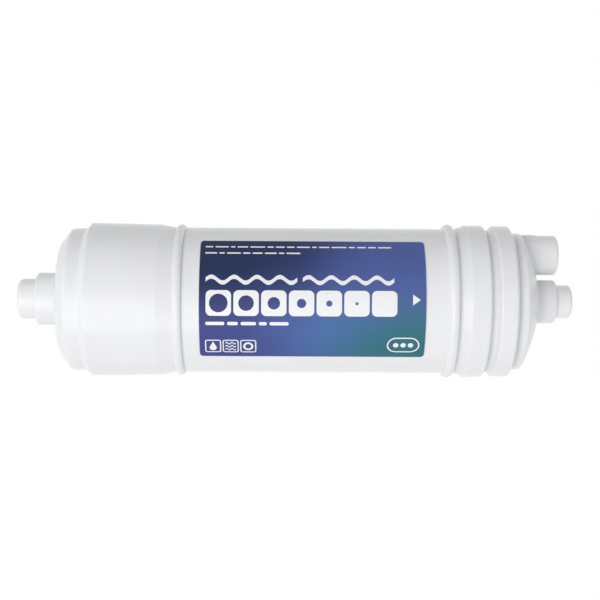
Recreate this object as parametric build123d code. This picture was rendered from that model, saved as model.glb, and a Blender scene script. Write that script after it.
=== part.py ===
from build123d import *
from collections import namedtuple
from math import radians, sin, tan
import os

# Inline reverse-osmosis membrane element: a welded housing with three push-in tube ports and a wound
# membrane inside. X runs along the element with the flow, from the inlet at -X to the two outlets at +X.
# Z is up, towards the concentrate port, and the label faces -Y. The origin is on the axis, halfway along
# the bare tube that a clip holds. All sizes are in millimetres.

# Body tube
tube_od = 65.3
tube_wall = 3.5
bare_length = 115.4
lap_length = 7.0
weld_gap = 0.05

# Weld beads, standing out from the tube's surface
inlet_bead_width = 4.2
inlet_bead_height = 1.55
tube_bead_width = 4.7
tube_bead_height = 2.1

# Inlet end cap, heights and depths taken from the tube's surface
taper_length = 6.7
skirt_length = 31.0
skirt_height = 1.9
skirt_draft = 0.6
skirt_round = 1.0
step_length = 2.6
step_round = 1.0
shoulder_length = 6.2
shoulder_depth = 0.6
shoulder_round = 2.0
cone_length = 4.4
dome_edge_depth = 6.1
dome_edge_round = 4.0
inlet_dome_rise = 2.4
inlet_dome_crown = 0.4
collar_length = 9.65
collar_radius = 11.85
collar_round = 1.1
cap_wall = 3.5
web_thickness = 2.4
web_clearance = 1.0
inlet_chamber = 10.2

# Outlet end cap, heights and depths taken from the tube's surface
neck_length = 0.8
rib_slope = 4.4
broad_rib_width = 7.7
broad_rib_height = 1.7
broad_rib_flank = 1.2
rib_gap = 2.4
rib_gap_depth = 0.4
narrow_rib_slope = 1.4
narrow_rib_width = 6.6
narrow_rib_height = 1.5
narrow_rib_flank = 1.9
rib_round = 1.0
rim_width = 3.8
rim_depth = 1.75
rim_round = 1.6
outlet_dome_rise = 8.2
outlet_dome_crown = 0.66
permeate_boss_radius = 9.85
permeate_boss_length = 8.3
concentrate_boss_length = 9.1
boss_step = 0.4
boss_lead = 2.5
boss_gap = 1.8
boss_round = 1.1
hub_wall = 3.4
hub_depth = 16.0

# Push-in tube ports
large_tube_od = 9.53
small_tube_od = 6.35
tube_clearance = 0.1
large_nozzle_radius = 8.95
large_nozzle_length = 8.2
small_nozzle_radius = 7.5
small_nozzle_length = 7.4
nozzle_round = 1.8
spigot_length = 3.2
spigot_wall = 1.6
seat_length = 4.7
stop_width = 1.2
stop_length = 1.5

# Collets, which slide in to let the tube go
collet_travel = 1.2
collet_recess = 0.3
collet_wall = 1.1
flange_width = 0.6
flange_thickness = 1.4
collet_clearance = 0.2
jaw_rise = 0.8
jaw_length = 2.0
jaw_slit = 0.8
end_clearance = 0.15

# Tube seals
seal_length = 2.6
seal_squeeze = 0.075

# Core tube, its plug and its two seals
core_od = 17.0
core_wall = 2.5
core_fit = 0.1
core_end_gap = 0.5
core_seal_width = 2.2
core_seal_depth = 1.4
core_seal_spacing = 5.5
core_seal_inset = 3.0
seal_fit = 0.03
drain_hole = 2.4
drain_pitch = 30.0
plug_length = 8.0
plug_head = 2.0

# Membrane roll and its wrap
roll_gap = 2.7
wrap_thickness = 0.4
roll_turns = 4
feed_channel = 0.6
roll_clearance = 0.15

# End rings and the brine seal
feed_ring_width = 8.0
outlet_ring_width = 5.0
ring_clearance = 0.6
ring_rim = 4.6
ring_hub = 2.6
spoke_count = 6
spoke_width = 2.6
seal_groove_width = 4.0
seal_groove_depth = 2.3
seal_flange = 1.6
seal_flange_drop = 1.0
lip_thickness = 0.7
lip_gap = 0.05

# Label on the front of the tube, short of each end of the bare tube by a margin
label_margin = 8.75
label_arc = 57.6
label_shift = -1.2
label_turn = 1.7
label_thickness = 0.15
label_glue = 0.05
label_corner = 1.7

# How far a cut runs past the face that it opens
overcut = 1.0

# Share of an outline's side that the rounds at its two ends may take up
round_share = 0.9

# Radii of the housing
tube_radius = tube_od / 2
bore_radius = tube_radius - tube_wall
lap_radius = bore_radius + tube_wall / 2
skirt_radius = tube_radius + skirt_height
shoulder_radius = tube_radius - shoulder_depth
dome_edge_radius = tube_radius - dome_edge_depth
rim_radius = tube_radius - rim_depth

# Places along the inlet end, going out from the bare tube
inlet_mouth = -bare_length / 2
bead_end = inlet_mouth - inlet_bead_width
skirt_end = bead_end - taper_length
skirt_start = skirt_end - skirt_length
shoulder_end = skirt_start - step_length
shoulder_start = shoulder_end - shoulder_length
dome_edge = shoulder_start - cone_length
dome_top = dome_edge - inlet_dome_rise
collar_face = dome_top - collar_length

# Places along the outlet end, going out from the bare tube
tube_mouth = bare_length / 2 + tube_bead_width
neck_end = tube_mouth + neck_length
broad_rib_start = neck_end + rib_slope
broad_rib_end = broad_rib_start + broad_rib_width
rib_gap_start = broad_rib_end + broad_rib_flank
rib_gap_end = rib_gap_start + rib_gap
narrow_rib_start = rib_gap_end + narrow_rib_slope
narrow_rib_end = narrow_rib_start + narrow_rib_width
rim_start = narrow_rib_end + narrow_rib_flank
rim_end = rim_start + rim_width
dome_end = rim_end + outlet_dome_rise
permeate_face = dome_end + permeate_boss_length
concentrate_face = rim_end + concentrate_boss_length
concentrate_boss_radius = large_nozzle_radius + boss_step
concentrate_height = permeate_boss_radius + boss_gap + concentrate_boss_radius

# The label's length between the beads
label_length = bare_length - 2 * label_margin

Corner = namedtuple("Corner", "x r round crown", defaults=(0.0, 0.0))


def bulged(start, end, crown):
    """An arc between two corners that stands out from the straight side by crown, away from the axis."""
    run = Vector(end) - Vector(start)
    out = Vector(-run.Y, run.X).normalized()
    if out.Y < 0:
        out = -out
    return ThreePointArc(start, (Vector(start) + Vector(end)) / 2 + out * crown, end)


def held_round(before, corner, after):
    """A corner's fillet, held to the room on its sides, shared with the rounds at their far ends."""
    sides = [Vector(end.x - corner.x, end.r - corner.r) for end in (before, after)]
    shares = [round_share / 2 if end.round else round_share for end in (before, after)]
    room = min(side.length * share for side, share in zip(sides, shares))
    turn = 180 - sides[0].get_angle(sides[1])
    return min(corner.round, room / tan(radians(turn / 2)))


def turned(*corners, height=0.0):
    """A solid turned about X, or about a parallel line at a height, from its outline's corners.

    A corner is (x, radius, round, crown). Its round is its own fillet, and its crown is how far the side to
    the next corner bulges.
    """
    corners = [Corner(*corner) for corner in corners]
    befores, afters = corners[-1:] + corners[:-1], corners[1:] + corners[:1]
    sides = []
    for here, there in zip(corners, afters):
        start, end = (here.x, here.r), (there.x, there.r)
        sides.append(bulged(start, end, here.crown) if here.crown else Line(start, end))
    outline = make_face(sides)
    for before, corner, after in zip(befores, corners, afters):
        if corner.round:
            vertex = outline.vertices().sort_by_distance((corner.x, corner.r))[0]
            outline = fillet(vertex, held_round(before, corner, after))
    return Pos(0, 0, height) * revolve(outline, Axis.X)


def ring(x_from, x_to, r_from, r_to, height=0.0):
    return turned((x_from, r_from), (x_from, r_to), (x_to, r_to), (x_to, r_from), height=height)


def rod(x_from, x_to, radius, height=0.0):
    return ring(x_from, x_to, 0.0, radius, height=height)


def blade(x_from, x_to, r_from, r_to, thickness, angle):
    """A flat radial plate, such as a web or a spoke, turned about X from straight up."""
    plate = Box(x_to - x_from, thickness, r_to - r_from)
    return Rot(angle, 0, 0) * Pos((x_from + x_to) / 2, 0, (r_from + r_to) / 2) * plate


class Port:
    """A push-in tube socket: its sizes, and its places as depths from the nozzle's mouth."""

    def __init__(self, face, outward, tube, nozzle_radius, nozzle_length, height=0.0):
        self.outward = outward
        self.height = height
        self.mouth = face + outward * nozzle_length
        self.tube_radius = tube / 2
        self.bore = self.tube_radius + tube_clearance
        self.nozzle_radius = nozzle_radius
        self.nozzle_length = nozzle_length
        self.sleeve = self.bore + collet_wall
        self.flange = self.sleeve + flange_width
        self.guide = self.sleeve + collet_clearance
        self.jaw = self.sleeve + jaw_rise
        self.recess = self.flange + collet_clearance
        self.spigot = self.guide + spigot_wall
        self.socket = self.spigot + weld_gap
        self.passage = self.tube_radius - stop_width

        self.recess_depth = collet_recess + flange_thickness + collet_travel + end_clearance
        self.spigot_end = nozzle_length + spigot_length
        self.cone_start = self.spigot_end - jaw_rise
        self.collet_end = self.spigot_end + jaw_length
        self.seal_start = self.collet_end + collet_travel + end_clearance
        self.seal_end = self.seal_start + seal_length
        self.stop = self.seal_end + seat_length
        self.depth = self.stop + stop_length

    def at(self, depth):
        return self.mouth - self.outward * depth

    def turned(self, *corners):
        """Turn a piece about the port's axis from corners of (depth, radius, round)."""
        return turned(*[(self.at(c[0]), *c[1:]) for c in corners], height=self.height)

    def bore_cut(self):
        """What the boss loses for the nozzle's spigot, the seal, the tube's seat and the water's way."""
        return self.turned(
            (self.nozzle_length - overcut, 0),
            (self.nozzle_length - overcut, self.socket),
            (self.seal_end, self.socket),
            (self.seal_end, self.bore),
            (self.stop, self.bore),
            (self.stop, self.passage),
            (self.depth + overcut, self.passage),
            (self.depth + overcut, 0),
        )

    def nozzle(self):
        """Fitting body, with a recess for the collet's flange and a cone that closes the collet's jaws."""
        return self.turned(
            (0, self.recess),
            (0, self.nozzle_radius, nozzle_round),
            (self.nozzle_length, self.nozzle_radius),
            (self.nozzle_length, self.spigot),
            (self.spigot_end, self.spigot),
            (self.spigot_end, self.guide + jaw_rise),
            (self.cone_start, self.guide),
            (self.recess_depth, self.guide),
            (self.recess_depth, self.recess),
        )

    def collet(self):
        """Sleeve with a release flange, slit into four fingers whose jaws lie behind the nozzle's cone."""
        sleeve = self.turned(
            (collet_recess, self.bore),
            (collet_recess, self.flange),
            (collet_recess + flange_thickness, self.flange),
            (collet_recess + flange_thickness, self.sleeve),
            (self.cone_start, self.sleeve),
            (self.spigot_end, self.jaw),
            (self.collet_end, self.jaw),
            (self.collet_end, self.bore),
        )
        slit_start, slit_end = sorted((self.at(self.recess_depth), self.at(self.collet_end + overcut)))
        reach = self.jaw + overcut
        for angle in (0, 90):
            slit = Rot(angle, 0, 0) * Box(slit_end - slit_start, jaw_slit, 2 * reach)
            sleeve -= Pos((slit_start + slit_end) / 2, 0, self.height) * slit
        return sleeve

    def tube_seal(self):
        return ring(
            self.at(self.seal_start),
            self.at(self.seal_end),
            self.tube_radius - seal_squeeze,
            self.socket - seal_fit,
            height=self.height,
        )


large_fitting = (large_tube_od, large_nozzle_radius, large_nozzle_length)
small_fitting = (small_tube_od, small_nozzle_radius, small_nozzle_length)
inlet = Port(collar_face, -1, *large_fitting)
concentrate = Port(concentrate_face, 1, *large_fitting, height=concentrate_height)
permeate = Port(permeate_face, 1, *small_fitting)

# Places of what the housing holds, worked out from its two ends
core_radius = core_od / 2
hub_radius = core_radius + core_fit + hub_wall
hub_floor = permeate.at(permeate.depth)
hub_face = hub_floor - hub_depth
roll_end = hub_face - outlet_ring_width
feed_ring_start = inlet.at(inlet.depth) + inlet_chamber
roll_start = feed_ring_start + feed_ring_width
roll_radius = bore_radius - roll_gap
ring_radius = bore_radius - ring_clearance
ring_inside = ring_radius - ring_rim
core_end = hub_floor - core_end_gap
core_seal_places = [core_end - core_seal_inset - i * core_seal_spacing for i in range(2)]
groove_radius = ring_radius - seal_groove_depth
groove_start = feed_ring_start + seal_flange
groove_end = groove_start + seal_groove_width


def body_tube():
    """Plain tube: a spigot that laps into the inlet cap, and a beaded mouth for the outlet cap's spigot."""
    return turned(
        (inlet_mouth - lap_length, bore_radius),
        (inlet_mouth - lap_length, lap_radius - weld_gap),
        (inlet_mouth, lap_radius - weld_gap),
        (inlet_mouth, tube_radius),
        (bare_length / 2, tube_radius, 0, tube_bead_height),
        (tube_mouth, tube_radius),
        (tube_mouth, lap_radius),
        (tube_mouth - lap_length, lap_radius),
        (tube_mouth - lap_length, bore_radius),
    )


def inlet_end_cap():
    """Moulded cap: bead, taper, drafted skirt, stepped shoulder, domed face and the inlet's collar."""
    outside = turned(
        (inlet_mouth, 0),
        (inlet_mouth, tube_radius, 0, inlet_bead_height),
        (bead_end, tube_radius),
        (skirt_end, skirt_radius - skirt_draft),
        (skirt_start, skirt_radius, skirt_round),
        (shoulder_end, shoulder_radius, step_round),
        (shoulder_start, shoulder_radius, shoulder_round),
        (dome_edge, dome_edge_radius, dome_edge_round, inlet_dome_crown),
        (dome_top, collar_radius),
        (collar_face, collar_radius, collar_round),
        (collar_face, 0),
    )
    cone_slope = cone_length / (shoulder_radius - dome_edge_radius)
    cavity_end = shoulder_start + cap_wall - (shoulder_radius - bore_radius) * cone_slope
    cavity = turned(
        (inlet_mouth + overcut, 0),
        (inlet_mouth + overcut, lap_radius),
        (inlet_mouth - lap_length, lap_radius),
        (inlet_mouth - lap_length, bore_radius),
        (cavity_end, bore_radius),
        (dome_edge + cap_wall, dome_edge_radius),
        (dome_top + cap_wall, collar_radius),
        (dome_top + cap_wall, 0),
    )
    cavity -= rod(dome_top, inlet.at(inlet.depth), inlet.bore + cap_wall)
    web_radius = core_radius + web_clearance
    for angle in range(0, 360, 90):
        cavity -= blade(dome_top, feed_ring_start, web_radius, tube_radius, web_thickness, angle)
    return outside - cavity - inlet.bore_cut()


def outlet_end_cap():
    """Moulded cap: spigot, two ribs, rim, dome, two port bosses and the core tube's socket."""
    outside = turned(
        (tube_mouth - lap_length, 0),
        (tube_mouth - lap_length, lap_radius - weld_gap),
        (tube_mouth, lap_radius - weld_gap),
        (tube_mouth, tube_radius),
        (neck_end, tube_radius),
        (broad_rib_start, tube_radius + broad_rib_height, rib_round),
        (broad_rib_end, tube_radius + broad_rib_height, rib_round),
        (rib_gap_start, tube_radius - rib_gap_depth),
        (rib_gap_end, tube_radius - rib_gap_depth),
        (narrow_rib_start, tube_radius + narrow_rib_height, rib_round),
        (narrow_rib_end, tube_radius + narrow_rib_height, rib_round),
        (rim_start, rim_radius),
        (rim_end, rim_radius, rim_round, outlet_dome_crown),
        (dome_end, permeate_boss_radius),
        (permeate_face, permeate_boss_radius, boss_round),
        (permeate_face, 0),
    )
    outside += turned(
        (rim_start, 0),
        (rim_start, concentrate_boss_radius),
        (concentrate_face - boss_lead, concentrate_boss_radius),
        (concentrate_face, large_nozzle_radius),
        (concentrate_face, 0),
        height=concentrate_height,
    )
    cavity = turned(
        (tube_mouth - lap_length - overcut, 0),
        (tube_mouth - lap_length - overcut, bore_radius),
        (rim_end - cap_wall, bore_radius),
        (dome_end - cap_wall, permeate_boss_radius),
        (dome_end - cap_wall, 0),
    )
    cavity -= rod(hub_face, dome_end, hub_radius)
    boss_start = concentrate.at(concentrate.depth)
    cavity -= rod(boss_start, dome_end, concentrate_boss_radius, height=concentrate_height)
    web_start = hub_floor - core_radius
    for angle in (90, 180, 270):
        cavity -= blade(web_start, dome_end, hub_radius - overcut, tube_radius, web_thickness, angle)
    core_socket = rod(hub_face - overcut, hub_floor, core_radius + core_fit)
    return outside - cavity - core_socket - permeate.bore_cut() - concentrate.bore_cut()


def label():
    """Thin film with rounded corners, wrapped round the front of the tube."""
    inner = tube_radius + label_glue
    film = ring(-label_length / 2, label_length / 2, inner, inner + label_thickness)
    height = 2 * inner * sin(label_arc / inner / 2)
    window = extrude(Plane.XZ * RectangleRounded(label_length, height, label_corner), tube_od)
    return Pos(label_shift, 0, 0) * Rot(-label_turn, 0, 0) * (film & window)


def permeate_tube():
    """Core tube with drain holes along the roll and two seal grooves in its outlet end."""
    tube = ring(feed_ring_start, core_end, core_radius - core_wall, core_radius)
    for place in core_seal_places:
        tube -= ring(place - core_seal_width, place, core_radius - core_seal_depth, core_radius + overcut)
    hole_count = int((roll_end - roll_start) / drain_pitch)
    first = (roll_start + roll_end - (hole_count - 1) * drain_pitch) / 2
    for i in range(hole_count):
        hole = Rot(90 * (i % 2), 0, 0) * Cylinder(drain_hole / 2, core_od + overcut)
        tube -= Pos(first + i * drain_pitch, 0, 0) * hole
    return tube


def core_plug():
    return turned(
        (feed_ring_start - plug_head, 0),
        (feed_ring_start - plug_head, core_radius),
        (feed_ring_start, core_radius),
        (feed_ring_start, core_radius - core_wall - core_fit),
        (feed_ring_start + plug_length, core_radius - core_wall - core_fit),
        (feed_ring_start + plug_length, 0),
    )


def core_seals():
    inner = core_radius - core_seal_depth + seal_fit
    outer = core_radius + core_fit - seal_fit
    width = core_seal_width - 2 * seal_fit
    ends = [place - seal_fit for place in core_seal_places]
    return [ring(end - width, end, inner, outer) for end in ends]


def membrane_roll():
    """The wound leaves as one strip: a spiral of half circles with a feed channel between its turns."""
    inside = core_radius + roll_clearance
    outside = roll_radius - wrap_thickness - roll_clearance
    pitch = (outside - inside + feed_channel) / (roll_turns + 1)
    strip = pitch - feed_channel
    arcs = []
    for radius in (inside + pitch / 4, inside + pitch / 4 + strip):
        for half in range(2 * roll_turns):
            upper = half % 2 == 0
            centre = -pitch / 4 if upper else pitch / 4
            arcs.append(CenterArc((centre, 0), radius + half * pitch / 2, 0 if upper else 180, 180))
    ends = [Line(arcs[0] @ 0, arcs[2 * roll_turns] @ 0), Line(arcs[2 * roll_turns - 1] @ 1, arcs[-1] @ 1)]
    section = make_face(arcs + ends)
    return Pos(roll_start, 0, 0) * extrude(Plane.YZ * section, roll_end - roll_start)


def roll_wrap():
    return ring(roll_start, roll_end, roll_radius - wrap_thickness, roll_radius)


def spoked(rim, x_from, x_to):
    """Join a rim to a hub on the core tube with radial spokes."""
    hub_inside = core_radius + core_fit
    wheel = rim + ring(x_from, x_to, hub_inside, hub_inside + ring_hub)
    spoke_start = hub_inside + ring_hub / 2
    spoke_end = ring_inside + ring_rim / 4
    for i in range(spoke_count):
        angle = i * 360 / spoke_count
        wheel += blade(x_from, x_to, spoke_start, spoke_end, spoke_width, angle)
    return wheel


def feed_end_ring():
    rim = turned(
        (feed_ring_start, ring_inside),
        (feed_ring_start, ring_radius - seal_flange_drop),
        (groove_start, ring_radius - seal_flange_drop),
        (groove_start, groove_radius),
        (groove_end, groove_radius),
        (groove_end, ring_radius),
        (roll_start, ring_radius),
        (roll_start, ring_inside),
    )
    return spoked(rim, feed_ring_start, roll_start)


def outlet_end_ring():
    return spoked(ring(roll_end, hub_face, ring_inside, ring_radius), roll_end, hub_face)


def brine_seal():
    """Lip seal in the feed ring's groove, its lip turned towards the feed so that pressure spreads it."""
    inside = groove_radius + seal_fit
    lip_radius = bore_radius - lip_gap
    return turned(
        (groove_start + seal_fit, inside),
        (groove_start + seal_fit + lip_thickness, inside + lip_thickness),
        (groove_start + seal_fit, lip_radius - lip_thickness),
        (groove_start + seal_fit, lip_radius),
        (groove_end - seal_fit, (inside + lip_radius) / 2),
        (groove_end - seal_fit, inside),
    )


pieces = {
    "body_tube": body_tube(),
    "inlet_end_cap": inlet_end_cap(),
    "outlet_end_cap": outlet_end_cap(),
    "label": label(),
    "inlet_nozzle": inlet.nozzle(),
    "concentrate_nozzle": concentrate.nozzle(),
    "permeate_nozzle": permeate.nozzle(),
    "inlet_collet": inlet.collet(),
    "concentrate_collet": concentrate.collet(),
    "permeate_collet": permeate.collet(),
    "tube_seals": Compound([port.tube_seal() for port in (inlet, concentrate, permeate)]),
    "permeate_tube": permeate_tube(),
    "core_plug": core_plug(),
    "core_seals": Compound(core_seals()),
    "membrane_roll": membrane_roll(),
    "roll_wrap": roll_wrap(),
    "feed_end_ring": feed_end_ring(),
    "outlet_end_ring": outlet_end_ring(),
    "brine_seal": brine_seal(),
}

os.makedirs("parts", exist_ok=True)
for name, shape in pieces.items():
    export_step(shape, f"parts/{name}.step")
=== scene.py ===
import bmesh
import bpy
import math
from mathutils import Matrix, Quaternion, Vector
from mathutils.geometry import tessellate_polygon


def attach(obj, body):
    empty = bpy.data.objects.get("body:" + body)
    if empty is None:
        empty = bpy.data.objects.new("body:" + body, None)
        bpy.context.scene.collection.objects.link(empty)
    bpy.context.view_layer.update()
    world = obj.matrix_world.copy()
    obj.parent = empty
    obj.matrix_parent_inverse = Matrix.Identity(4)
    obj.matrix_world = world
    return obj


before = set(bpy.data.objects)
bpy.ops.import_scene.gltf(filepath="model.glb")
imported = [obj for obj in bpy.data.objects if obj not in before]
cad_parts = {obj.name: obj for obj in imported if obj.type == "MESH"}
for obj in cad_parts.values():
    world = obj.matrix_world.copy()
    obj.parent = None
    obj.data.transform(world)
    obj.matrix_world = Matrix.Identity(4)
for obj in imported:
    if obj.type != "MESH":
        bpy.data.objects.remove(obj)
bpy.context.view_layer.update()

# An inline membrane element lies level over a white studio floor, its label towards the camera.
# Shapes are in metres in the part's own frame. Painted shade, net, tape and the label's layout are in
# millimetres, the layout on the flat film from the label's middle: x along the tube, v up round it.
MM = 0.001

# Camera, level with the axis and turned slightly so that the outlet end sits lower in the picture
CAMERA_PLACE = Vector((-0.0131, -0.568, 0.0001))
CAMERA_AIM = Vector((-0.0063, 0.0, 0.0001))
CAMERA_ROLL = math.radians(0.33)
LENS_MM = 75.0
SENSOR_MM = 36.0

# Floor: its paper, the share of it that glows, and the soft shade under the object
FLOOR_LEVEL = -0.24
FLOOR_SIZE = 12.0
FLOOR_PAPER = (0.9, 0.9, 0.9, 1.0)
FLOOR_GLOW = 0.62
SHADOW_SHARE = 0.15
SHADOW_NEAR = 0.2
SHADOW_FAR = 0.48

# Sky: its light in front of the object and behind it, and where it turns from one to the other
WHITE = (1.0, 1.0, 1.0, 1.0)
SKY_FRONT = 0.43
SKY_BACK = 0.12
SKY_TURN = (-0.3, 0.5)

# Lamps: place, aim, width, height and power. Softboxes light the object, highlights only show in its gloss.
MIDDLE = (0.0, 0.0, 0.0)
SOFTBOXES = {
    "key_softbox": ((-0.55, -1.08, 0.0), MIDDLE, 0.8, 0.6, 4.3),
    "front_softbox": ((0.2, -1.2, 0.1), MIDDLE, 0.6, 0.6, 1.4),
    "left_softbox": ((-1.1, -0.25, 0.35), MIDDLE, 0.6, 1.0, 1.9),
    "back_softbox": ((0.6, 0.95, 0.6), MIDDLE, 0.6, 0.6, 7.0),
}
HIGHLIGHTS = {
    "left_highlight": ((-0.87, -0.51, -0.05), MIDDLE, 0.3, 1.0, 1.5),
    "highlight_panel": ((-0.27, -0.485, -0.1325), (-0.27, -0.355, 0.2035), 0.66, 0.568, 1.8),
}

# Noise: the middle of its range, and the part of the range over which a colour changes
NOISE_MIDDLE = 0.5
NOISE_RANGE = (0.3, 0.7)

# White plastics: two shades of each, their clouding and how far it changes the gloss
HOUSING_WHITE = ((0.852, 0.853, 0.866, 1.0), (0.868, 0.87, 0.886, 1.0))
FITTING_WHITE = ((0.856, 0.856, 0.856, 1.0), (0.874, 0.874, 0.874, 1.0))
PERMEATE_WHITE = ((0.885, 0.885, 0.885, 1.0), (0.9, 0.9, 0.9, 1.0))
HOUSING_ROUGHNESS = 0.2
FITTING_ROUGHNESS = 0.36
FITTING_WAVES = (120, 120, 120)
FITTING_DEPTH = 5e-5
CLOUD_SCALE = 45.0
CLOUD_GLOSS = 0.04
PLASTIC_IOR = 1.49

# Painted shade in creases: each crease's place along the axis and how far the shade reaches from there
HOUSING_CREASES = ((-57.9, 1.4), (62.0, 2.0), (76.2, 2.4), (88.0, 3.2))
PERMEATE_CREASES = ((109.1, 1.3),)
CREASE_LEAD = 0.4
CREASE_SHADE_SHARE = 0.27
PAINTED_SHADE = (0.1, 0.1, 0.1, 1.0)

# Painted shade on the outlet's bosses, from the dome outwards. The dome's place along the axis falls with the
# distance from the axis and with its square.
DOME_TOP = 102.67
DOME_LEAN = 0.127
DOME_CURVE = 0.0064
DOME_SKIN = (0.02, 0.15)
BOSS_REACH = 5.0
BOSS_SHADE_SHARE = 0.16

# Plain finishes: two shades of each, and how far the grain changes the gloss and shows in the skin
COLLET_WHITE = ((0.70, 0.70, 0.68, 1.0), (0.76, 0.76, 0.74, 1.0))
RUBBER_BLACK = ((0.012, 0.012, 0.013, 1.0), (0.03, 0.03, 0.032, 1.0))
CORE_GREY = ((0.62, 0.62, 0.58, 1.0), (0.70, 0.70, 0.66, 1.0))
INK_WHITE = ((0.86, 0.87, 0.88, 1.0), (0.9, 0.9, 0.91, 1.0))
GRAIN_GLOSS = 0.12
GRAIN_STRENGTH = 0.6

# Membrane: its two shades and stains, and the spacer net's mesh, thread and how far it shows
MEMBRANE_CREAM = ((0.60, 0.58, 0.48, 1.0), (0.72, 0.70, 0.61, 1.0))
MEMBRANE_ROUGHNESS = 0.72
STAIN_SCALE = 60.0
STAIN_ROUGHNESS = 0.08
NET_WHITE = (0.82, 0.82, 0.78, 1.0)
NET_PITCH = 3.4
NET_THREAD = (0.55, 1.0)
NET_SHARE = 0.7
NET_GLOSS = 0.14
NET_DEPTH = 2e-4

# Tape round the roll: its two shades, its winding, and each turn's lap over the last as a share of a turn
TAPE_BLUE = ((0.54, 0.61, 0.68, 1.0), (0.64, 0.70, 0.76, 1.0))
TAPE_PITCH = 32.0
TAPE_GRAIN = (400, 60, 60)
TAPE_ROUGHNESS = 0.36
TAPE_GRAIN_ROUGHNESS = 0.08
TAPE_GRAIN_DEPTH = 0.2
LAP_BLUE = (0.42, 0.50, 0.58, 1.0)
LAP_WIDTH = 0.16
LAP_EDGE = 0.02
LAP_SHARE = 0.6
LAP_ROUGHNESS = 0.04
LAP_DEPTH = 6e-5

# Label film, as wrapped on the tube
FILM_RADIUS = 32.85
FILM_LENGTH = 97.9
FILM_ARC = 57.85
FILM_CORNER = 1.7
FILM_SHIFT = -1.2
FILM_TURN = math.radians(1.7)
FILM_EDGE = 0.3

# Label film's colours, as they look on screen
INDIGO = (66, 74, 138)
VIOLET = (80, 99, 161)
NAVY = (34, 47, 84)
BLUE = (76, 112, 174)
TEAL = (50, 112, 126)
PALE_EDGE = (186, 194, 212)

# Label film's soft fields of colour: the middle along and across the label, from -1 to 1, and where the fade
# starts and ends. Noise makes them drift on that scale.
NAVY_FIELD = (-1.0, 1.0, 0.55, 1.63)
BLUE_FIELD = (0.25, -0.6, 0.0, 0.9)
TEAL_FIELD = (0.9, -0.9, 0.3, 1.1)
DRIFT_SCALE = 30.0
DRIFT = 0.25

# Label film's gloss and skin
FILM_ROUGHNESS = 0.42
FILM_GLOSS_SCALE = 250.0
FILM_GLOSS = 0.06
FILM_SKIN_SCALE = 150.0
FILM_DEPTH = 1e-5
FILM_SPECULAR = 0.2
FILM_IOR = 1.5

# Ink on the film, cut into strips so that it bends with it
INK_LIFT = 0.015
INK_THICKNESS = 0.02
INK_STRIP = 1.0
INK_SHARP_ANGLE = math.radians(40)

# Fineness of the label's outlines
CORNER_STEPS = 6
DISC_STEPS = 36
DROP_STEPS = 24
WAVE_STEP = 0.3

# Label's rows of dashes: start, end, middle, height, lengths in turn and gap
FINE_ROWS = (
    (-46.6, 36.4, 24.6, 0.8, (3.4, 5.8, 2.0, 4.6, 6.6, 2.8, 3.9), 0.9),
    (-46.6, -3.0, 20.9, 0.8, (5.2, 2.4, 6.1, 3.2, 4.4), 0.9),
)
BOLD_ROW = (-46.1, -9.4, -11.3, 1.5, (8.2, 4.6, 6.6, 3.4), 1.2)
DASH_CORNER = 0.45

# Label's wavy ribbons: start, end, middle, swing, pitch and width of line
RIBBONS = ((-46.0, -6.7, 7.8, 1.3, 9.8, 1.9), (-4.3, 35.0, 7.8, 1.3, 9.8, 1.9))

# Label's row of tiles, with a hole that shrinks to nothing along the row
TILES = 7
TILE_START = -45.9
TILE_WIDTH = 10.9
TILE_GAP = 0.98
TILE_FOOT = -7.9
TILE_MIDDLE = -2.35
TILE_HEAD = 3.2
TILE_CORNER = 2.2
TILE_HOLE = 4.0

# Label's three framed pictures: a drop, ripples and a ring
PICTURE_STARTS = (-46.4, -38.8, -31.2)
PICTURE_WIDTH = 6.95
PICTURE_FOOT = -26.1
PICTURE_HEAD = -19.15
PICTURE_CORNER = 1.0
PICTURE_LINE = 0.5
DROP_PLACE = (-42.93, -23.4)
DROP_RADIUS = 1.55
DROP_ARC = (150, 390)
DROP_TIP = 2.1
RIPPLE_MIDDLES = (-24.3, -22.6, -20.9)
RIPPLE_START = -37.6
RIPPLE_END = -33.05
RIPPLE_SWING = 0.45
RIPPLE_PITCH = 2.275
RIPPLE_LINE = 0.6
RING_PLACE = (-27.73, -22.6)
RING_RADIUS = 2.2
RING_HOLE = 1.3

# Label's arrow, and its badge with three dots
ARROW = ((43.0, -3.0), (46.3, -0.6), (43.0, 1.8))
BADGE_BOX = (32.3, -25.6, 46.5, -17.6)
BADGE_CORNER = 4.0
BADGE_LINE = 0.6
DOT_PLACES = (36.2, 39.4, 42.6)
DOT_MIDDLE = -21.6
DOT_RADIUS = 1.2


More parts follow.
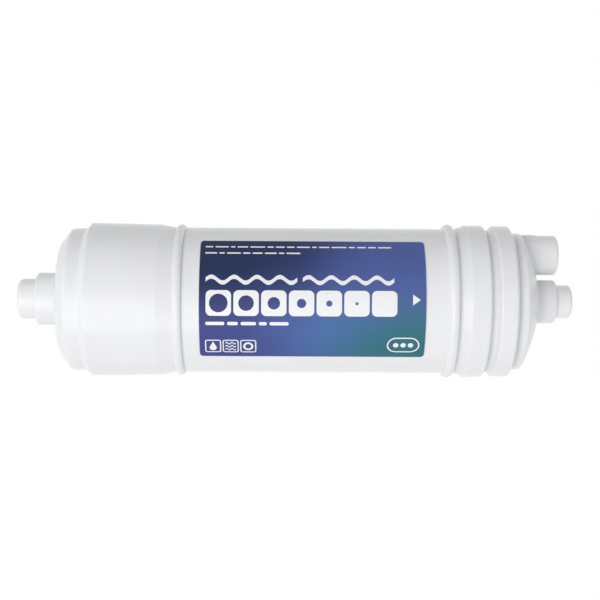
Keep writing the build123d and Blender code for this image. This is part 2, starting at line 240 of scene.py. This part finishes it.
class Paint:
    """A socket in a node tree. Arithmetic on it adds Math nodes, and add() makes any other node."""

    def __init__(self, tree, socket=None):
        self.tree = tree
        self.socket = socket

    def add(self, kind, settings=(), inputs=(), output=0):
        node = self.tree.nodes.new(kind)
        for name, value in dict(settings).items():
            setattr(node, name, value)
        for key, value in dict(inputs).items():
            if isinstance(value, Paint):
                self.tree.links.new(value.socket, node.inputs[key])
            else:
                node.inputs[key].default_value = value
        return Paint(self.tree, node.outputs[output] if node.outputs else None)

    def other(self, output):
        """Another output of the node that this socket belongs to."""
        return Paint(self.tree, self.socket.node.outputs[output])

    def math(self, operation, *terms):
        return self.add("ShaderNodeMath", {"operation": operation}, dict(enumerate(terms)))

    def __add__(self, other):
        return self.math("ADD", self, other)

    def __sub__(self, other):
        return self.math("SUBTRACT", self, other)

    def __rsub__(self, other):
        return self.math("SUBTRACT", other, self)

    def __mul__(self, other):
        return self.math("MULTIPLY", self, other)

    def __truediv__(self, other):
        return self.math("DIVIDE", self, other)

    def __rtruediv__(self, other):
        return self.math("DIVIDE", other, self)

    def __neg__(self):
        return self.math("MULTIPLY", self, -1.0)

    def __abs__(self):
        return self.math("ABSOLUTE", self)

    __radd__ = __add__
    __rmul__ = __mul__

    def at_least(self, limit):
        return self.math("MAXIMUM", self, limit)

    def fade(self, start, end):
        """0 up to start, 1 from end, and smooth between them."""
        settings = {"interpolation_type": "SMOOTHSTEP"}
        return self.add("ShaderNodeMapRange", settings, {"Value": self, "From Min": start, "From Max": end})

    def blend(self, low, high):
        """A colour that goes from low, where this is 0, to high, where it is 1."""
        return self.add("ShaderNodeMix", {"data_type": "RGBA"}, {0: self, 6: low, 7: high}, 2)

    def noise(self, scale, detail=2.0):
        inputs = {"Vector": self, "Scale": scale, "Detail": detail}
        return self.add("ShaderNodeTexNoise", (), inputs, "Fac")

    def stretched(self, *factors):
        return self.add("ShaderNodeVectorMath", {"operation": "MULTIPLY"}, {0: self, 1: factors})

    def bump(self, distance, strength=1.0):
        inputs = {"Height": self, "Distance": distance, "Strength": strength}
        return self.add("ShaderNodeBump", (), inputs)

    def axes(self):
        """The three coordinates of a vector."""
        x = self.add("ShaderNodeSeparateXYZ", (), {0: self})
        return x, x.other(1), x.other(2)


def colour(red, green, blue):
    """A colour given as it looks on screen, 0 to 255, in the linear light that shaders use."""
    def linear(level):
        share = level / 255
        return share / 12.92 if share <= 0.04045 else ((share + 0.055) / 1.055) ** 2.4
    return linear(red), linear(green), linear(blue), 1.0


def new_material(name):
    """An empty material, its node tree as Paint and the object's own coordinates."""
    material = bpy.data.materials.new(name)
    material.use_nodes = True
    material.node_tree.nodes.clear()
    paint = Paint(material.node_tree)
    return material, paint, paint.add("ShaderNodeTexCoord", output="Object")


def principled(paint, **inputs):
    named = {key.replace("_", " "): value for key, value in inputs.items()}
    surface = paint.add("ShaderNodeBsdfPrincipled", (), named)
    paint.add("ShaderNodeOutputMaterial", (), {"Surface": surface})


def round_axis(paint, place):
    """How far along the axis, in millimetres, a spot is, its turn about it, and its distance from it."""
    x, y, z = place.axes()
    return x / MM, paint.math("ARCTAN2", z, -y), paint.math("SQRT", y * y + z * z) / MM


def white_plastic(name, shades, roughness, waves, depth, creases=(), boss_shade_share=0.0):
    """Polypropylene: faint clouding, uneven gloss, shallow waves, as many to the metre as given, a painted
    shade line in each crease, and a share of painted shade at the feet of the outlet's bosses."""
    material, paint, place = new_material(name)
    cloud = place.noise(CLOUD_SCALE, detail=3.0).fade(*NOISE_RANGE)
    skin = place.stretched(*waves).noise(1.0, detail=0.0)
    run, _, radius = round_axis(paint, place)
    shown = cloud.blend(*shades)
    for crease, reach in creases:
        past = run - crease
        line = past.fade(-CREASE_LEAD, 0.0) * (1.0 - past.fade(0.0, reach))
        # Painted shade: a dark line at the foot of each crease, fading away from it
        shown = (CREASE_SHADE_SHARE * line).blend(shown, PAINTED_SHADE)
    if boss_shade_share:
        past = run - (DOME_TOP - radius * (DOME_LEAN + DOME_CURVE * radius))
        foot = past.fade(*DOME_SKIN) * (1.0 - past.fade(0.0, BOSS_REACH))
        # Painted shade at the bosses' feet, darkest by the dome and fading outwards
        shown = (boss_shade_share * foot).blend(shown, PAINTED_SHADE)
    principled(
        paint,
        Base_Color=shown,
        Roughness=roughness + CLOUD_GLOSS * (cloud - NOISE_MIDDLE),
        Normal=skin.bump(depth),
        IOR=PLASTIC_IOR,
    )
    return material


def label_film(name):
    """Printed film: soft fields of navy, indigo, violet, blue and teal, with a clear pale edge."""
    material, paint, place = new_material(name)
    run, turn, _ = round_axis(paint, place)
    run = run - FILM_SHIFT
    rise = (turn - FILM_TURN) * FILM_RADIUS
    drift = DRIFT * (place.noise(DRIFT_SCALE, detail=1.0) - NOISE_MIDDLE)
    along = run / (FILM_LENGTH / 2) + drift
    across = rise / (FILM_ARC / 2) - drift

    def field(u, v, inner, outer):
        """1 in a soft round field about a spot of the label, given from -1 to 1 both ways."""
        away = paint.math("SQRT", (along - u) * (along - u) + (across - v) * (across - v))
        return 1.0 - away.fade(inner, outer)

    ground = along.fade(-1.0, 1.0).blend(colour(*INDIGO), colour(*VIOLET))
    ground = field(*NAVY_FIELD).blend(ground, colour(*NAVY))
    ground = field(*BLUE_FIELD).blend(ground, colour(*BLUE))
    ground = field(*TEAL_FIELD).blend(ground, colour(*TEAL))

    past_x = (abs(run) - (FILM_LENGTH / 2 - FILM_CORNER)).at_least(0.0)
    past_v = (abs(rise) - (FILM_ARC / 2 - FILM_CORNER)).at_least(0.0)
    past = paint.math("SQRT", past_x * past_x + past_v * past_v)
    edge = past.fade(FILM_CORNER - FILM_EDGE, FILM_CORNER - FILM_EDGE / 3)
    principled(
        paint,
        Base_Color=edge.blend(ground, colour(*PALE_EDGE)),
        Roughness=FILM_ROUGHNESS + FILM_GLOSS * place.noise(FILM_GLOSS_SCALE),
        Normal=place.noise(FILM_SKIN_SCALE, detail=0.0).bump(FILM_DEPTH),
        IOR=FILM_IOR,
        Specular_IOR_Level=FILM_SPECULAR,
    )
    return material


def plain_finish(name, shades, roughness, scale, depth):
    """A finish whose colour, gloss and skin vary with one fine noise."""
    material, paint, place = new_material(name)
    grain = place.noise(scale, detail=4.0)
    principled(
        paint,
        Base_Color=grain.fade(*NOISE_RANGE).blend(*shades),
        Roughness=roughness + GRAIN_GLOSS * (grain - NOISE_MIDDLE),
        Normal=grain.bump(depth, GRAIN_STRENGTH),
    )
    return material


def membrane_sheet(name):
    """Rolled membrane: a cream sheet with the diamond mesh of the spacer net pressed through it."""
    material, paint, place = new_material(name)
    run, turn, radius = round_axis(paint, place)
    rate = 2 * math.pi / NET_PITCH
    one_way = paint.math("SINE", (run + turn * radius) * rate)
    other_way = paint.math("SINE", (run - turn * radius) * rate)
    net = one_way.at_least(other_way).fade(*NET_THREAD)
    stain = place.noise(STAIN_SCALE, detail=3.0).fade(*NOISE_RANGE)
    principled(
        paint,
        Base_Color=(NET_SHARE * net).blend(stain.blend(*MEMBRANE_CREAM), NET_WHITE),
        Roughness=MEMBRANE_ROUGHNESS - NET_GLOSS * net + STAIN_ROUGHNESS * stain,
        Normal=net.bump(NET_DEPTH),
    )
    return material


def wrap_tape(name):
    """Tape wound round the roll: a slanting lap at each turn, and a faint stretch grain along the winding."""
    material, paint, place = new_material(name)
    run, turn, _ = round_axis(paint, place)
    wound = paint.math("FRACT", run / TAPE_PITCH + turn / (2 * math.pi))
    lap = 1.0 - wound.fade(LAP_WIDTH - LAP_EDGE, LAP_WIDTH)
    grain = place.stretched(*TAPE_GRAIN).noise(1.0, detail=3.0)
    film = grain.fade(*NOISE_RANGE).blend(*TAPE_BLUE)
    principled(
        paint,
        Base_Color=(LAP_SHARE * lap).blend(film, LAP_BLUE),
        Roughness=TAPE_ROUGHNESS + TAPE_GRAIN_ROUGHNESS * grain + LAP_ROUGHNESS * lap,
        Normal=(lap + TAPE_GRAIN_DEPTH * grain).bump(LAP_DEPTH),
        IOR=FILM_IOR,
    )
    return material


# The housing and the permeate nozzle get painted crease shade, and the caps also get painted shade at the
# bosses' feet
finishes = {
    "tube_plastic": white_plastic("tube_plastic", HOUSING_WHITE, HOUSING_ROUGHNESS, waves=(6, 160, 160),
                                  depth=3e-5, creases=HOUSING_CREASES),
    "cap_plastic": white_plastic("cap_plastic", HOUSING_WHITE, HOUSING_ROUGHNESS, waves=(60, 60, 60),
                                 depth=4e-5, creases=HOUSING_CREASES, boss_shade_share=BOSS_SHADE_SHARE),
    "fitting_plastic": white_plastic("fitting_plastic", FITTING_WHITE, FITTING_ROUGHNESS, FITTING_WAVES,
                                     FITTING_DEPTH),
    "permeate_fitting": white_plastic("permeate_fitting", PERMEATE_WHITE, FITTING_ROUGHNESS, FITTING_WAVES,
                                      FITTING_DEPTH, creases=PERMEATE_CREASES),
    "collet_plastic": plain_finish("collet_plastic", COLLET_WHITE, roughness=0.45, scale=500, depth=2e-5),
    "label_film": label_film("label_film"),
    "seal_rubber": plain_finish("seal_rubber", RUBBER_BLACK, roughness=0.6, scale=900, depth=4e-5),
    "core_plastic": plain_finish("core_plastic", CORE_GREY, roughness=0.5, scale=400, depth=3e-5),
    "membrane": membrane_sheet("membrane"),
    "wrap_film": wrap_tape("wrap_film"),
    "ink": plain_finish("ink", INK_WHITE, roughness=0.4, scale=1200, depth=1e-6),
}

node_finish = {
    "body_tube": "tube_plastic",
    "inlet_end_cap": "cap_plastic",
    "outlet_end_cap": "cap_plastic",
    "label": "label_film",
    "inlet_nozzle": "fitting_plastic",
    "concentrate_nozzle": "fitting_plastic",
    "permeate_nozzle": "permeate_fitting",
    "inlet_collet": "collet_plastic",
    "concentrate_collet": "collet_plastic",
    "permeate_collet": "collet_plastic",
    "tube_seals": "seal_rubber",
    "permeate_tube": "core_plastic",
    "core_plug": "core_plastic",
    "core_seals": "seal_rubber",
    "membrane_roll": "membrane",
    "roll_wrap": "wrap_film",
    "feed_end_ring": "core_plastic",
    "outlet_end_ring": "core_plastic",
    "brine_seal": "seal_rubber",
}
for node, finish in node_finish.items():
    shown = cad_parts[node]
    shown.data.materials.clear()
    shown.data.materials.append(finishes[finish])


def arc(x, v, radius, start, end, steps):
    """Points of an arc about (x, v), with its angles in degrees."""
    angles = [math.radians(start + (end - start) * i / steps) for i in range(steps + 1)]
    return [(x + radius * math.cos(angle), v + radius * math.sin(angle)) for angle in angles]


def disc(x, v, radius):
    return arc(x, v, radius, 0, 360, DISC_STEPS)[:-1]


def box(x_from, v_from, x_to, v_to, corner):
    """A rectangle with round corners."""
    x_low, x_high, v_low, v_high = x_from + corner, x_to - corner, v_from + corner, v_to - corner
    centres = ((x_high, v_high), (x_low, v_high), (x_low, v_low), (x_high, v_low))
    outline = []
    for i, (x, v) in enumerate(centres):
        outline += arc(x, v, corner, 90 * i, 90 * (i + 1), CORNER_STEPS)
    return outline


def outlined_box(x_from, v_from, x_to, v_to, corner, line):
    """The outline of a box as a line of its own width."""
    return [box(x_from, v_from, x_to, v_to, corner),
            box(x_from + line, v_from + line, x_to - line, v_to - line, corner - line)]


def wave(x_from, x_to, v, swing, pitch, line):
    """A wavy ribbon."""
    steps = round((x_to - x_from) / WAVE_STEP)
    xs = [x_from + (x_to - x_from) * i / steps for i in range(steps + 1)]
    middle = [(x, v + swing * math.sin(2 * math.pi * (x - x_from) / pitch)) for x in xs]
    return ([(x, height + line / 2) for x, height in middle]
            + [(x, height - line / 2) for x, height in reversed(middle)])


def drop(x, v, radius):
    """A drop of water with its point up."""
    return arc(x, v, radius, *DROP_ARC, DROP_STEPS) + [(x, v + DROP_TIP * radius)]


def dashes(x_from, x_to, v, height, lengths, gap):
    """A row of dashes with round ends."""
    row, x, i = [], x_from, 0
    while x + lengths[i % len(lengths)] <= x_to:
        length = lengths[i % len(lengths)]
        row.append([box(x, v - height / 2, x + length, v + height / 2, DASH_CORNER * height)])
        x, i = x + length + gap, i + 1
    return row


def label_shapes():
    """White shapes of the label, each as an outline and its holes."""
    shapes = [dash for row in FINE_ROWS for dash in dashes(*row)]
    shapes += [[wave(*ribbon)] for ribbon in RIBBONS]
    for i in range(TILES):
        x = TILE_START + i * (TILE_WIDTH + TILE_GAP)
        hole = TILE_HOLE * (TILES - 1 - i) / (TILES - 1)
        holes = [disc(x + TILE_WIDTH / 2, TILE_MIDDLE, hole)] if hole else []
        shapes.append([box(x, TILE_FOOT, x + TILE_WIDTH, TILE_HEAD, TILE_CORNER)] + holes)
    shapes += dashes(*BOLD_ROW)
    for x in PICTURE_STARTS:
        end = x + PICTURE_WIDTH
        shapes.append(outlined_box(x, PICTURE_FOOT, end, PICTURE_HEAD, PICTURE_CORNER, PICTURE_LINE))
    shapes.append([drop(*DROP_PLACE, DROP_RADIUS)])
    for v in RIPPLE_MIDDLES:
        shapes.append([wave(RIPPLE_START, RIPPLE_END, v, RIPPLE_SWING, RIPPLE_PITCH, RIPPLE_LINE)])
    shapes.append([disc(*RING_PLACE, RING_RADIUS), disc(*RING_PLACE, RING_HOLE)])
    shapes.append([ARROW])
    shapes.append(outlined_box(*BADGE_BOX, BADGE_CORNER, BADGE_LINE))
    shapes += [[disc(x, DOT_MIDDLE, DOT_RADIUS)] for x in DOT_PLACES]
    return shapes


def wrapped(spot):
    """The place on the tube, in metres, of a spot given on the flat film with its height over it."""
    radius = FILM_RADIUS + spot.z
    angle = FILM_TURN + spot.y / FILM_RADIUS
    return MM * Vector((FILM_SHIFT + spot.x, -radius * math.cos(angle), radius * math.sin(angle)))


def add_label_print():
    """The label's white ink as one thin raised layer."""
    work = bmesh.new()
    for loops in label_shapes():
        flat = [[Vector((x, v, INK_LIFT)) for x, v in loop] for loop in loops]
        corners = [work.verts.new(spot) for loop in flat for spot in loop]
        for triangle in tessellate_polygon(flat):
            face = work.faces.new([corners[i] for i in triangle])
            face.normal_update()
            if face.normal.z < 0:
                face.normal_flip()
    strips = math.ceil(FILM_ARC / INK_STRIP)
    for i in range(1, strips):
        everything = work.verts[:] + work.edges[:] + work.faces[:]
        level = FILM_ARC * (i / strips - 0.5)
        bmesh.ops.bisect_plane(work, geom=everything, plane_co=(0, level, 0), plane_no=(0, 1, 0))
    raised = bmesh.ops.extrude_face_region(work, geom=work.faces[:])["geom"]
    for item in raised:
        if isinstance(item, bmesh.types.BMVert):
            item.co.z += INK_THICKNESS
    for spot in work.verts:
        spot.co = wrapped(spot.co)
    mesh = bpy.data.meshes.new("label_print")
    work.to_mesh(mesh)
    work.free()
    mesh.shade_smooth()
    mesh.set_sharp_from_angle(angle=INK_SHARP_ANGLE)
    mesh.materials.append(finishes["ink"])
    piece = bpy.data.objects.new("label_print", mesh)
    bpy.context.scene.collection.objects.link(piece)
    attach(piece, "housing")


def add_camera():
    data = bpy.data.cameras.new("camera")
    data.lens = LENS_MM
    data.sensor_width = SENSOR_MM
    data.sensor_fit = "HORIZONTAL"
    camera = bpy.data.objects.new("camera", data)
    camera.location = CAMERA_PLACE
    turn = (CAMERA_AIM - CAMERA_PLACE).to_track_quat("-Z", "Y")
    camera.rotation_euler = (turn @ Quaternion((0, 0, 1), CAMERA_ROLL)).to_euler()
    bpy.context.scene.collection.objects.link(camera)
    bpy.context.scene.camera = camera


def add_lamp(name, place, aim, width, height, power, mirrored):
    """An area lamp that the camera doesn't see. One that is mirrored makes a highlight and no other light."""
    data = bpy.data.lights.new(name, "AREA")
    data.shape = "RECTANGLE"
    data.size = width
    data.size_y = height
    data.energy = power
    lamp = bpy.data.objects.new(name, data)
    lamp.location = place
    lamp.rotation_euler = (Vector(aim) - Vector(place)).to_track_quat("-Z", "Y").to_euler()
    lamp.visible_camera = False
    lamp.visible_diffuse = not mirrored
    lamp.visible_glossy = mirrored
    bpy.context.scene.collection.objects.link(lamp)


def seen_directly(paint):
    """1 for rays from the camera, and for those that gloss or glass sends on to the background."""
    camera = paint.add("ShaderNodeLightPath", output="Is Camera Ray")
    mirrored = camera.other("Is Glossy Ray") + camera.other("Is Transmission Ray")
    return paint.math("MINIMUM", camera + mirrored, 1.0)


def add_world():
    world = bpy.data.worlds.new("studio")
    world.use_nodes = True
    world.node_tree.nodes.clear()
    paint = Paint(world.node_tree)
    white = seen_directly(paint)
    back = paint.add("ShaderNodeTexCoord", output="Generated").axes()[1].fade(*SKY_TURN)
    sky = SKY_FRONT + (SKY_BACK - SKY_FRONT) * back
    light = paint.add("ShaderNodeBackground", (), {"Color": WHITE, "Strength": sky + (1 - sky) * white})
    paint.add("ShaderNodeOutputWorld", (), {"Surface": light})
    bpy.context.scene.world = world


def add_floor():
    mesh = bpy.data.meshes.new("floor")
    half = FLOOR_SIZE / 2
    corners = [(x, y, FLOOR_LEVEL) for x, y in ((-half, -half), (half, -half), (half, half), (-half, half))]
    mesh.from_pydata(corners, [], [(0, 1, 2, 3)])
    material, paint, place = new_material("floor_paper")
    paper = paint.add("ShaderNodeBsdfDiffuse", (), {"Color": FLOOR_PAPER})
    white = paint.add("ShaderNodeEmission", (), {"Color": WHITE, "Strength": 1.0})
    away = place.add("ShaderNodeVectorMath", {"operation": "LENGTH"}, {0: place}, "Value")
    clean = 1.0 - SHADOW_SHARE * (1.0 - away.fade(SHADOW_NEAR, SHADOW_FAR))
    glow = FLOOR_GLOW + (clean - FLOOR_GLOW) * seen_directly(paint)
    surface = paint.add("ShaderNodeMixShader", (), {0: glow, 1: paper, 2: white})
    paint.add("ShaderNodeOutputMaterial", (), {"Surface": surface})
    mesh.materials.append(material)
    floor = bpy.data.objects.new("floor", mesh)
    bpy.context.scene.collection.objects.link(floor)


add_label_print()
add_camera()
add_world()
add_floor()
for name, lamp in SOFTBOXES.items():
    add_lamp(name, *lamp, mirrored=False)
for name, lamp in HIGHLIGHTS.items():
    add_lamp(name, *lamp, mirrored=True)
bpy.context.scene.view_settings.view_transform = "Standard"
